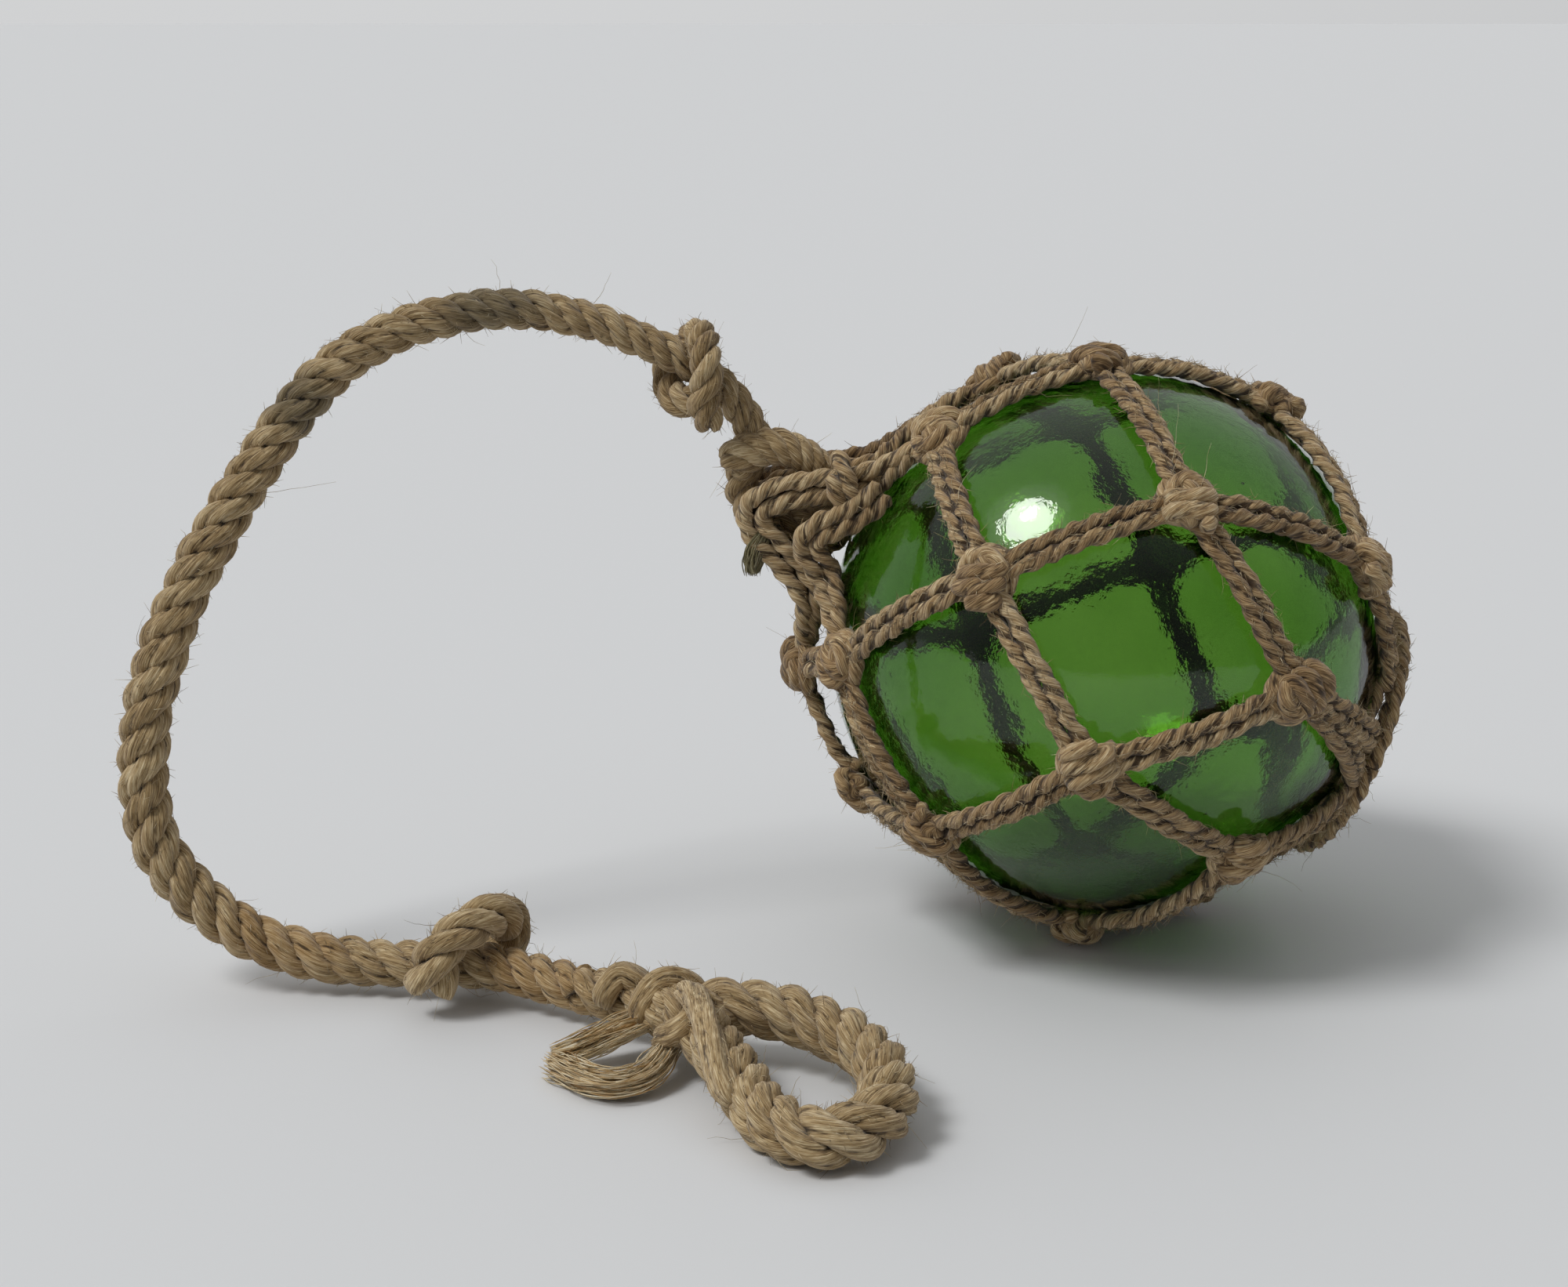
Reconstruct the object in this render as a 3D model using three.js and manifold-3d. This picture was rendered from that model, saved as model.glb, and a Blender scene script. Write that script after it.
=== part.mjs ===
// Blown glass float in a knotted net of doubled jute cord, with a laid rope lanyard.
// Millimetres, +Z up, the surface it rests on at z = 0. The code works round the ball's centre
// line, x = y = 0, and the last lines shift the whole part so that x = y = 0 is the middle of
// the netted ball. Seen from -Y, the net's crown and the lanyard are on the left.
import * as THREE from "three";
import { mergeVertices } from "three/addons/utils/BufferGeometryUtils.js";
import Module from "manifold-3d";

const wasm = await Module();
wasm.setup();

// Glass float
const GLASS_RADIUS = 75;
const CENTRE_HEIGHT = 81;

// Net cord: two cords lie side by side in every leg of the net
const GAP = 0.3;
const LEG_HALF_WIDTH = 4.8;
const LEG_HALF_THICKNESS = 2.4;
const LEG_LIFT = 1.8;
const KNOT_HALF_WIDTH = 7.8;
const KNOT_HALF_THICKNESS = 6;
const LEG_STEP = 23;
const NET_AXIS_TILT = 21;

// Knots, as [degrees from the crown end of the net's axis, degrees round it from the front] and,
// where the net stands off the glass, the extra height. A knot of one row hangs between two
// neighbours of the row before it.
const KNOT_ROWS = [
  [[29, -40], [33, 66], [49, 117], [42, 165], [40, 220], [26, 271, 5]],
  [[53, 15], [66, 82], [74, 140], [72, 200], [91, 262], [66, 309]],
  [[85, 41], [103, 93], [108, 168], [110, 249], [105, 288], [85, 348]],
  [[128, 54], [130, 130], [134, 205], [132, 268], [123, 334], [117, 375]],
];
const MEND_KNOT = [53, -84];
const RING_POLAR = 155;
const RING_SIDES = 18;
const RING_RADIUS = 4.3;

// Crown: bundles of cord that hook round the lanyard's crown eye, relative to the ball's centre
const CROWN_RADIUS = 4.4;
const CROWN_HOOK = [
  [-64, -13, 47], [-72, -12.5, 45], [-81, -11, 43], [-90, -10.5, 40.5], [-96, -10.2, 34],
  [-95, -10, 27], [-89, -10, 23], [-81, -10, 20],
];
const CROWN_PIN_RADIUS = 4;
const CROWN_TAIL_RADIUS = 3;

// Lanyard rope: slim where it leaves its crown eye, fattest where it comes down to the surface
const ROPE_SLIM_RADIUS = 4.9;
const ROPE_FULL_RADIUS = 7.1;
const ROPE_NECK_RADIUS = 6.1;
const ROPE_FULL_FROM = 0.55;
const ROPE_FULL_TO = 0.72;
const ROPE_SIDES = 8;
const ROPE_STEPS = 42;
const CROWN_EYE_CENTRE = [-88.5, 0, 125];
const CROWN_EYE_RADIUS = 10.5;
const CROWN_EYE_TUBE = 5;
const ROPE_ROUTE = [
  [-98.6, 0, 143.5], [-103, 0, 149.5], [-109, 0, 155], [-117.5, -1, 160], [-129.5, -2, 165.5],
  [-142, -3, 170], [-154.5, -4, 172.3], [-166.5, -6, 172.6], [-179, -9, 170.8], [-191, -13, 167],
  [-202, -17, 161], [-211.3, -21, 152.5], [-219.2, -25, 142.5], [-226.6, -29, 131.5],
  [-233.4, -33, 120.2], [-239.6, -36, 109.3], [-244.8, -39, 98.4], [-249, -42, 86.9],
  [-252.2, -45, 75], [-254, -47, 63], [-253.8, -49, 51], [-251, -51, 39.8], [-245.2, -52, 29.8],
  [-236.4, -53, 21], [-225.2, -54, 14], [-211, -55, 9.8], [-196.5, -56, 8.3], [-182, -58, 8.8],
  [-169.5, -61, 10], [-158.5, -65, 10], [-148, -70, 9.2], [-139, -75, 9],
];

// Hand eye spliced in the lanyard's free end, and the strand ends left loose beside it
const EYE_RADIUS = 6.9;
const EYE_ROUTE = [
  [-114, -97, 12.5], [-101, -99, 14.5], [-88, -101.5, 14], [-75, -110, 13], [-66.5, -123.5, 12],
  [-64, -138, 10.5], [-69, -150, 8.8], [-79.5, -154.5, 7.6], [-90, -147, 7.6], [-97, -131, 8.8],
  [-103.5, -116, 11], [-110, -102, 12.5],
];
const SPLICE_RADIUS = 7.8;
const SPLICE_ROUTE = [[-137.9, -75.7, 9], [-129, -82, 9.8], [-119, -91, 11.4], [-109, -99, 13]];
const TAIL_UPPER = [[-117, -95, 11], [-124, -101, 9], [-131, -104.5, 7], [-139, -107.5, 4.5]];
const TAIL_LOWER = [
  [-112, -103, 10], [-117, -112, 7], [-120.5, -118.5, 4.6], [-127, -121.5, 4], [-134.5, -117, 4],
  [-140, -109, 4.2],
];
const TAIL_RADIUS = 3.4;

// Hitches: short lengths of thinner rope, turned twice round the lanyard
const HITCH_TURNS = 1.8;
const HITCH_STEPS = 24;
const HITCH_CLEARANCE = 0.8;
const UPPER_HITCH = {
  at: [-110, -0.1, 155.6], along: [-0.82, -0.07, 0.57], around: 5.3, tube: 4.2, pitch: 8.6, start: 200,
};
const LOWER_HITCH = {
  at: [-169.5, -61, 10], along: [0.97, -0.23, 0], around: 6.6, tube: 4.7, pitch: 9.6, start: 150,
};

const JUTE = new THREE.Color(0x9a7b56);
const jute = () => new THREE.MeshStandardMaterial({ color: JUTE, roughness: 0.95, metalness: 0 });
const greenGlass = new THREE.MeshStandardMaterial({
  color: 0x2f7a24, roughness: 0.05, metalness: 0, transparent: true, opacity: 0.6,
});

const rad = THREE.MathUtils.degToRad;
const vec = (p) => new THREE.Vector3(...p);

// ---- Joining closed meshes into one solid ----

function toSolid(geometry) {
  const bare = geometry.clone();
  bare.deleteAttribute("normal");
  bare.deleteAttribute("uv");
  const merged = mergeVertices(bare, 1e-4);
  return new wasm.Manifold(new wasm.Mesh({
    numProp: 3,
    vertProperties: new Float32Array(merged.attributes.position.array),
    triVerts: new Uint32Array(merged.index.array),
  }));
}

function toGeometry(solid) {
  const mesh = solid.getMesh();
  const geometry = new THREE.BufferGeometry();
  geometry.setAttribute("position", new THREE.BufferAttribute(mesh.vertProperties, 3));
  geometry.setIndex(new THREE.BufferAttribute(mesh.triVerts, 1));
  return geometry;
}

function join(geometries) {
  return geometries.map(toSolid).reduce((whole, piece) => whole.add(piece));
}

// ---- Shapes that repeat ----

// Regular polygon whose corners lie on a circle, for the section of a round cord
function roundSection(radius, sides) {
  const corners = [];
  for (let i = 0; i < sides; i++) {
    const turn = (2 * Math.PI * i) / sides;
    corners.push(new THREE.Vector2(radius * Math.cos(turn), radius * Math.sin(turn)));
  }
  return new THREE.Shape(corners);
}

function tube(curve, radius, sides, steps) {
  return new THREE.ExtrudeGeometry(roundSection(radius, sides), { extrudePath: curve, steps });
}

// The same, with a radius that changes along it: each corner is set out from the centre of the
// ring that it belongs to
function taperedTube(curve, radiusAt, sides, steps) {
  const geometry = tube(curve, 1, sides, steps);
  const centres = curve.getSpacedPoints(steps);
  const corners = geometry.attributes.position;
  const corner = new THREE.Vector3();
  for (let i = 0; i < corners.count; i++) {
    corner.fromBufferAttribute(corners, i);
    const distances = centres.map((centre) => centre.distanceTo(corner));
    const ring = distances.indexOf(Math.min(...distances));
    corner.sub(centres[ring]).multiplyScalar(radiusAt(ring / steps)).add(centres[ring]);
    corners.setXYZ(i, ...corner.toArray());
  }
  return geometry;
}

function ropeTube(points, radius, sides, steps) {
  return tube(new THREE.CatmullRomCurve3(points.map(vec), false, "centripetal"), radius, sides, steps);
}

function lump(centre, halfSizes, outward) {
  const geometry = new THREE.OctahedronGeometry(1, 1);
  geometry.scale(...halfSizes);
  const turn = new THREE.Quaternion().setFromUnitVectors(new THREE.Vector3(0, 0, 1), outward);
  geometry.applyQuaternion(turn);
  geometry.translate(...centre.toArray());
  return geometry;
}

// ---- Net ----

const axis = new THREE.Vector3(-Math.cos(rad(NET_AXIS_TILT)), 0, Math.sin(rad(NET_AXIS_TILT)));
const front = new THREE.Vector3(0, -1, 0);
const upward = new THREE.Vector3(Math.sin(rad(NET_AXIS_TILT)), 0, Math.cos(rad(NET_AXIS_TILT)));
const legLevel = GLASS_RADIUS + LEG_LIFT + LEG_HALF_THICKNESS;
const knotLevel = GLASS_RADIUS + GAP + 0.1 + KNOT_HALF_THICKNESS;

function direction([polar, round]) {
  return axis.clone().multiplyScalar(Math.cos(rad(polar)))
    .addScaledVector(front, Math.sin(rad(polar)) * Math.cos(rad(round)))
    .addScaledVector(upward, Math.sin(rad(polar)) * Math.sin(rad(round)));
}

// Arc in its own XY plane, from x towards y, whose distance from the centre changes evenly
class SwellingArc extends THREE.Curve {
  constructor(startRadius, endRadius, angle) {
    super();
    this.startRadius = startRadius;
    this.endRadius = endRadius;
    this.angle = angle;
  }

  getPoint(t, target = new THREE.Vector3()) {
    const radius = this.startRadius + (this.endRadius - this.startRadius) * t;
    return target.set(radius * Math.cos(this.angle * t), radius * Math.sin(this.angle * t), 0);
  }
}

// Two cords side by side, in one outline with its narrow side to the glass
function doubledSection() {
  const w = LEG_HALF_WIDTH;
  const t = LEG_HALF_THICKNESS;
  const outline = [[w, 0], [w / 2, t], [-w / 2, t], [-w, 0], [0, -t]];
  return new THREE.Shape(outline.map(([across, out]) => new THREE.Vector2(across, out)));
}

// Leg between two points given from the ball's centre, bent round the glass
function leg(from, to) {
  const start = from.clone().normalize();
  const side = start.clone().cross(to).normalize();
  const along = side.clone().cross(start);
  const angle = start.angleTo(to);
  const steps = Math.ceil(angle / rad(LEG_STEP));
  const geometry = new THREE.ExtrudeGeometry(doubledSection(), {
    extrudePath: new SwellingArc(from.length(), to.length(), angle), steps,
  });
  geometry.applyMatrix4(new THREE.Matrix4().makeBasis(start, along, side));
  return geometry;
}

const standOff = ([, , height = 0]) => height;
const onNet = (place) => direction(place).multiplyScalar(legLevel + standOff(place));
const mirrored = ([x, y, z]) => [x, -y, z];

// Pairs of places on the glass that the net's legs join
function legEnds() {
  const [first, second, third, fourth] = KNOT_ROWS;
  const ends = [];
  for (const [above, below] of [[first, second], [second, third], [third, fourth]]) {
    below.forEach((knot, i) => {
      const mended = above === first && i >= 4;
      if (!(mended && i === 5)) ends.push([above[i], knot]);
      if (!(mended && i === 4)) ends.push([above[(i + 1) % above.length], knot]);
    });
  }
  ends.splice(ends.findIndex(([, knot]) => knot === second[4]), 1);
  ends.push([first[0], second[5]], [first[5], MEND_KNOT], [MEND_KNOT, second[4]]);
  ends.push([MEND_KNOT, second[5]], [first[0], first[5]], [first[4], second[4]]);
  return ends.map(([a, b]) => [onNet(a), onNet(b)]);
}

function ringLegEnds() {
  const pulls = [[54, 40], [130, 120], [205, 200], [268, 285], [334, 345], [375, 352], [375, 372]];
  return pulls.map(([round, at]) => {
    const knot = KNOT_ROWS[3].find((place) => place[1] === round);
    return [onNet(knot), onNet([RING_POLAR, at])];
  });
}

// First-row knots are hauled up to the hook's upper end (0) or its lower end (1), before or
// behind the crown eye
function crownLegEnds() {
  const upper = CROWN_HOOK[1];
  const lower = CROWN_HOOK.at(-1);
  const ends = [
    upper, upper, mirrored(upper), mirrored(upper), mirrored(lower), lower,
  ];
  return KNOT_ROWS[0].map((place, i) => [onNet(place), vec(ends[i])]);
}

function bottomRing() {
  const points = [];
  for (let i = 0; i < RING_SIDES; i++) {
    const place = direction([RING_POLAR, (360 * i) / RING_SIDES]);
    points.push(place.multiplyScalar(GLASS_RADIUS + LEG_LIFT + RING_RADIUS));
  }
  const halves = [points.slice(0, RING_SIDES / 2 + 1), [...points.slice(RING_SIDES / 2), points[0]]];
  return halves.map((half) => tube(new THREE.CatmullRomCurve3(half), RING_RADIUS, 6, RING_SIDES / 2));
}

function crown() {
  const pinCentre = new THREE.Vector3(...CROWN_EYE_CENTRE).setZ(CROWN_EYE_CENTRE[2] - CENTRE_HEIGHT);
  const pin = [-11, 0, 11].map((y) => [pinCentre.x, y, pinCentre.z]);
  const frontTail = [[-94, -8, 28], [-93.5, -6, 23.5], [-92.5, -5, 18.5]];
  return [
    ropeTube(CROWN_HOOK, CROWN_RADIUS, 7, 14),
    ropeTube(CROWN_HOOK.map(mirrored), CROWN_RADIUS, 7, 14),
    ropeTube(pin, CROWN_PIN_RADIUS, 7, 4),
    ropeTube(frontTail, CROWN_TAIL_RADIUS, 6, 2),
  ];
}

function net() {
  const pieces = [...legEnds(), ...ringLegEnds(), ...crownLegEnds()].map(([a, b]) => leg(a, b));
  for (const place of [...KNOT_ROWS.flat(), MEND_KNOT]) {
    const outward = direction(place);
    const centre = outward.clone().multiplyScalar(knotLevel + standOff(place));
    pieces.push(lump(centre, [KNOT_HALF_WIDTH, KNOT_HALF_WIDTH, KNOT_HALF_THICKNESS], outward));
  }
  pieces.push(...bottomRing(), ...crown());
  pieces.forEach((piece) => piece.translate(0, 0, CENTRE_HEIGHT));
  const surface = new THREE.BoxGeometry(400, 400, 40);
  surface.translate(0, 0, -20);
  return toGeometry(join(pieces).subtract(toSolid(surface)));
}

// ---- Lanyard ----

function crownEye() {
  const geometry = new THREE.TorusGeometry(CROWN_EYE_RADIUS, CROWN_EYE_TUBE, 8, 16);
  geometry.rotateX(Math.PI / 2);
  geometry.translate(...CROWN_EYE_CENTRE);
  return geometry;
}

function ropeRadius(along) {
  const { smoothstep, lerp } = THREE.MathUtils;
  const full = lerp(ROPE_SLIM_RADIUS, ROPE_FULL_RADIUS, smoothstep(along, 0, ROPE_FULL_FROM));
  return lerp(full, ROPE_NECK_RADIUS, smoothstep(along, ROPE_FULL_TO, 1));
}

function rope() {
  const curve = new THREE.CatmullRomCurve3(ROPE_ROUTE.map(vec), false, "centripetal");
  return taperedTube(curve, ropeRadius, ROPE_SIDES, ROPE_STEPS);
}

function handEye() {
  return toGeometry(join([
    ropeTube(EYE_ROUTE, EYE_RADIUS, ROPE_SIDES, 24),
    ropeTube(SPLICE_ROUTE, SPLICE_RADIUS, ROPE_SIDES, 4),
    ropeTube(TAIL_UPPER, TAIL_RADIUS, 6, 4),
    ropeTube(TAIL_LOWER, TAIL_RADIUS, 6, 7),
  ]));
}

// Coil of thinner rope round the lanyard, clear of it all the way
function hitch({ at, along, around, tube: tubeRadius, pitch, start }) {
  const direct = vec(along).normalize();
  const side = new THREE.Vector3(0, 0, 1).cross(direct).normalize();
  const up = direct.clone().cross(side);
  const radius = around + HITCH_CLEARANCE + tubeRadius;
  const points = [];
  for (let i = 0; i <= HITCH_STEPS; i++) {
    const turned = (i / HITCH_STEPS) * HITCH_TURNS;
    const angle = rad(start) + 2 * Math.PI * turned;
    points.push(vec(at)
      .addScaledVector(side, radius * Math.cos(angle))
      .addScaledVector(up, radius * Math.sin(angle))
      .addScaledVector(direct, (turned - HITCH_TURNS / 2) * pitch));
  }
  const curve = new THREE.CatmullRomCurve3(points, false, "centripetal");
  const solid = toSolid(tube(curve, tubeRadius, 7, HITCH_STEPS));
  const surface = new THREE.BoxGeometry(800, 800, 40);
  surface.translate(0, 0, -20);
  return toGeometry(solid.subtract(toSolid(surface)));
}

// ---- The whole part ----

function named(name, geometry, material) {
  const mesh = new THREE.Mesh(geometry, material);
  mesh.name = name;
  return mesh;
}

const ball = new THREE.SphereGeometry(GLASS_RADIUS, 36, 18);
ball.rotateX(Math.PI / 2);
ball.translate(0, 0, CENTRE_HEIGHT);

const nettedBall = [named("glass_ball", ball, greenGlass), named("net", net(), jute())];
const lanyard = [
  named("lanyard_crown_eye", crownEye(), jute()),
  named("lanyard_rope", rope(), jute()),
  named("lanyard_hand_eye", handEye(), jute()),
  named("hitch_upper", hitch(UPPER_HITCH), jute()),
  named("hitch_lower", hitch(LOWER_HITCH), jute()),
];

const part = new THREE.Group();
part.add(...nettedBall, ...lanyard);

const box = new THREE.Box3();
nettedBall.forEach((mesh) => box.expandByObject(mesh, true));
const middle = box.getCenter(new THREE.Vector3());
part.position.set(-middle.x, -middle.y, 0);

export default part;
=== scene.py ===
# Looks of a blown glass float ball in a knotted jute net, with its laid rope lanyard.
# Metres, +Z up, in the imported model's frame. MM turns the maker's sizes into metres.
import math
import random
from collections import namedtuple

import bmesh
import bpy
import numpy as np
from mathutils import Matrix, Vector, noise


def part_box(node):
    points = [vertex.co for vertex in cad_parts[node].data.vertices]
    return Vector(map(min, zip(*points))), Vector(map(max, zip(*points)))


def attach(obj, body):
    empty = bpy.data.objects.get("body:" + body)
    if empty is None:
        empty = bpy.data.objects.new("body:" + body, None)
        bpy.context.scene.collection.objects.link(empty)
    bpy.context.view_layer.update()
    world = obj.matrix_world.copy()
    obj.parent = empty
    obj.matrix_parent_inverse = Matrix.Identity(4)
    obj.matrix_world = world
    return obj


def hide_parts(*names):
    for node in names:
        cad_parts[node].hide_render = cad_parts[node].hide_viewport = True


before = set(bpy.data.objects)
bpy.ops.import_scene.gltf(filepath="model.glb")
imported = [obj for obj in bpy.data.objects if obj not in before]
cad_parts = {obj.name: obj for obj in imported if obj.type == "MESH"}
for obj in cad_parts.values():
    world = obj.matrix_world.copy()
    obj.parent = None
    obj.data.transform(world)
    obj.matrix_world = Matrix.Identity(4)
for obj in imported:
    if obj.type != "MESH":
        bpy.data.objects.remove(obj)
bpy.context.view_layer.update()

MM = 0.001
ball_low, ball_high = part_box("glass_ball")
ball = np.array((ball_low + ball_high) / 2)
foot = np.array([ball[0], ball[1], 0.0])     # on the surface, straight below the ball's centre


# ---- Camera ----
# A camera with a long lens stands in front of the part, level from side to side and tipped
# down a little.
CAMERA_FROM_FOOT = np.array([-87.8, -628.7, 248.1]) * MM
CAMERA_TIP = math.radians(15)


def linked(name, data):
    """A new object with this data, in the scene."""
    thing = bpy.data.objects.new(name, data)
    bpy.context.scene.collection.objects.link(thing)
    return thing


camera = linked("camera", bpy.data.cameras.new("camera"))
bpy.context.scene.camera = camera
camera.location = foot + CAMERA_FROM_FOOT
camera.rotation_euler = (math.pi / 2 - CAMERA_TIP, 0, 0)
camera.data.lens = 54
camera.data.sensor_width = 36
camera.data.clip_start = 0.01


# ---- Jute ----
# Retted bast fibre, spun into yarns and laid up into cord and rope. It is dull, hairy and tan,
# with paler fibres on the crests, brown dirt and painted shade in the grooves and a few grey-green
# damp stains.
def linear(hex_colour):
    """An sRGB hex value as linear red, green, blue and alpha."""
    parts = [int(hex_colour[i:i + 2], 16) / 255 for i in (1, 3, 5)]
    return [c / 12.92 if c <= 0.04045 else ((c + 0.055) / 1.055) ** 2.4 for c in parts] + [1]


def add(nodes, kind, inputs=(), **settings):
    """Adds a node, sets its settings, and gives each input its value or the socket it takes."""
    node = nodes.nodes.new(kind)
    for name, value in settings.items():
        if hasattr(node, name):
            setattr(node, name, value)
        else:
            node.inputs[name.replace("_", " ")].default_value = value
    for socket, source in inputs:
        if isinstance(source, bpy.types.NodeSocket):
            nodes.links.new(source, node.inputs[socket])
        else:
            node.inputs[socket].default_value = source
    return node


def new_material(name):
    """An empty node material, and its node tree."""
    material = bpy.data.materials.new(name)
    material.use_nodes = True
    material.node_tree.nodes.clear()
    return material, material.node_tree


def ramp(nodes, source, stops):
    """A colour ramp on source, with stops as [position, hex colour]."""
    node = add(nodes, "ShaderNodeValToRGB", [("Fac", source)])
    elements = node.color_ramp.elements
    while len(elements) < len(stops):
        elements.new(0.5)
    for element, (position, colour) in zip(elements, stops):
        element.position = position
        element.color = linear(colour)
    return node.outputs["Color"]


FIBRE_WIDTH = 0.28 * MM     # real fibre is a third of this, and would not show
FIBRE_LENGTH = 4 * MM
BUNCH_WIDTH = 1 * MM        # fibres lie in bunches of one tone
BUNCH_LENGTH = FIBRE_LENGTH / 1.5
BUNCH_SHARE = 0.25
FIBRE_RELIEF = 0.5 * MM
BLOTCHES = 45               # ragged edges of stains, in waves a metre
RAGGED_DIRT_SHADE = 0.55          # how unevenly the dirt and painted shade creep out of the grooves
DIRT_SHADE_FULL, DIRT_SHADE_GONE = 0.68, 0.86       # share of a strand's radius, from groove to crest
# One brown colour for both the dirt and the painted shade in the grooves
DIRT_AND_SHADE = "#2b1c10"
DAMP_STAIN, GOLDEN_PATCH = ("#4a4a3c", 0.55), ("#a8742c", 0.2)      # colour, strength


def jute(name, tints, groove, stains=(), golden=()):
    """Jute by its strand's own coordinates: streaks along the fibres, dirt and painted shade
    between the yarns.
    """
    material, nodes = new_material(name)
    laid = add(nodes, "ShaderNodeAttribute", attribute_name="laid").outputs["Vector"]
    tone = add(nodes, "ShaderNodeAttribute", attribute_name="tone").outputs["Fac"]
    crest = add(nodes, "ShaderNodeAttribute", attribute_name="crest").outputs["Fac"]
    place = add(nodes, "ShaderNodeTexCoord").outputs["Object"]
    fine = add(nodes, "ShaderNodeMapping", [("Vector", laid)],
               Scale=(1 / FIBRE_WIDTH, 1 / FIBRE_WIDTH, 1 / FIBRE_LENGTH))
    fibres = add(nodes, "ShaderNodeTexNoise", [("Vector", fine.outputs["Vector"])],
                 Scale=1, Detail=3, Roughness=0.7, Distortion=0.5).outputs["Fac"]
    coarse = add(nodes, "ShaderNodeMapping", [("Vector", laid)],
                 Scale=(1 / BUNCH_WIDTH, 1 / BUNCH_WIDTH, 1 / BUNCH_LENGTH))
    bunches = add(nodes, "ShaderNodeTexNoise", [("Vector", coarse.outputs["Vector"])],
                  Scale=1, Detail=2, Roughness=0.5).outputs["Fac"]
    mixed = add(nodes, "ShaderNodeMix", [("A", fibres), ("B", bunches), ("Factor", BUNCH_SHARE)],
                data_type="FLOAT")
    toned = add(nodes, "ShaderNodeMath", [(0, mixed.outputs[0]), (1, tone)], operation="ADD")
    colour = ramp(nodes, toned.outputs[0], tints)
    blotch = add(nodes, "ShaderNodeTexNoise", [("Vector", place)], Scale=BLOTCHES, Detail=2)
    for spots, (tint, reach) in ((stains, DAMP_STAIN), (golden, GOLDEN_PATCH)):
        for middle, size in spots:
            away = add(nodes, "ShaderNodeVectorMath", [(0, place), (1, middle)],
                       operation="DISTANCE")
            wavy = add(nodes, "ShaderNodeMath",
                       [(0, blotch.outputs["Fac"]), (1, size * 1.1), (2, -size * 0.55)],
                       operation="MULTIPLY_ADD")
            edge = add(nodes, "ShaderNodeMath", [(0, away.outputs["Value"]), (1, wavy.outputs[0])],
                       operation="ADD")
            near = add(nodes, "ShaderNodeMapRange", [("Value", edge.outputs[0])], From_Min=size,
                       From_Max=size * 0.35, To_Max=reach, interpolation_type="SMOOTHSTEP")
            colour = add(nodes, "ShaderNodeMix",
                         [("Factor", near.outputs["Result"]), (6, colour), (7, linear(tint))],
                         data_type="RGBA", blend_type="MIX").outputs[2]
    # Grooves, low crests and the shaded sides of strands are painted darker: this is painted shade
    # as well as dirt
    ragged = add(nodes, "ShaderNodeMath", [(0, bunches), (1, RAGGED_DIRT_SHADE), (2, crest)],
                 operation="MULTIPLY_ADD")
    dirt_and_shade = add(nodes, "ShaderNodeMapRange", [("Value", ragged.outputs[0])], To_Min=groove, To_Max=0,
               From_Min=DIRT_SHADE_FULL + RAGGED_DIRT_SHADE / 2, From_Max=DIRT_SHADE_GONE + RAGGED_DIRT_SHADE / 2,
               interpolation_type="SMOOTHSTEP")
    dirty_and_shaded = add(nodes, "ShaderNodeMix",
                [("Factor", dirt_and_shade.outputs["Result"]), (6, colour), (7, linear(DIRT_AND_SHADE))],
                data_type="RGBA", blend_type="MIX")
    relief = add(nodes, "ShaderNodeBump", [("Height", mixed.outputs[0])],
                 Strength=1.0, Distance=FIBRE_RELIEF)
    skin = add(nodes, "ShaderNodeBsdfPrincipled",
               [("Base Color", dirty_and_shaded.outputs[2]), ("Normal", relief.outputs["Normal"])],
               Roughness=0.9, Specular_IOR_Level=0.2, Sheen_Weight=0.25, Sheen_Roughness=0.5,
               IOR=1.45)
    add(nodes, "ShaderNodeOutputMaterial", [("Surface", skin.outputs["BSDF"])])
    return material


def spot(x, y, z):
    """A place given in millimetres from the ball's foot, in the row frame."""
    return tuple(foot + np.array([x, y, z]) * MM)


# Straw-coloured on the crests and brown in the grooves from dirt and painted shade, with two damp
# stains on the arch and two golden patches where the rope lies on the surface
rope_jute = jute(
    "laid_jute_rope",
    [[0.36, "#624c2f"], [0.46, "#9b8159"], [0.54, "#b89e74"], [0.66, "#e4d1aa"]],
    groove=0.85,
    stains=[(spot(-163, -8, 177), 0.019), (spot(-214, -24, 150), 0.014)],
    golden=[(spot(-222, -56, 14), 0.022), (spot(-150, -70, 12), 0.02)],
)


# ---- Lanyard rope ----
# Three-strand rope, right-laid from strands of left-twisted yarns, so that its fibres run
# along it. It leaves the crown eye, stands in an arch and comes down to lie on the surface.
ROPE_ROUTE = [
    (-95.5, -0.5, 137.5), (-98.6, 0, 143.5), (-103, 0, 149.5), (-109, 0, 155), (-117.5, -1, 160),
    (-129.5, -2, 165.5), (-142, -3, 170), (-154.5, -4, 172.3), (-166.5, -6, 172.6),
    (-179, -9, 170.8), (-191, -13, 167), (-202, -17, 161), (-211.3, -21, 152.5),
    (-219.2, -25, 142.5), (-226.6, -29, 131.5), (-233.4, -33, 120.2), (-239.6, -36, 109.3),
    (-244.8, -39, 98.4), (-249, -42, 86.9), (-252.2, -45, 75), (-254, -47, 63),
    (-253.8, -49, 51), (-251, -51, 39.8), (-245.2, -52, 29.8), (-236.4, -53, 21),
    (-225.2, -54, 14), (-211, -55, 9.8), (-196.5, -56, 8.3), (-182, -58, 8.8),
    (-169.5, -61, 10), (-158.5, -65, 10), (-148, -70, 9.2), (-139, -75, 9),
]
ROPE_SLIM, ROPE_FULL, ROPE_NECK = 4.9 * MM, 6.9 * MM, 6.2 * MM
FULL_FROM, NECK_FROM = 0.55, 0.72       # shares of the rope's length
ROPE_STEP = 0.9 * MM
LAY_PER_DIAMETER = 1.75
STRAND_FULLNESS = 1.03      # against round strands that only touch
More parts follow.
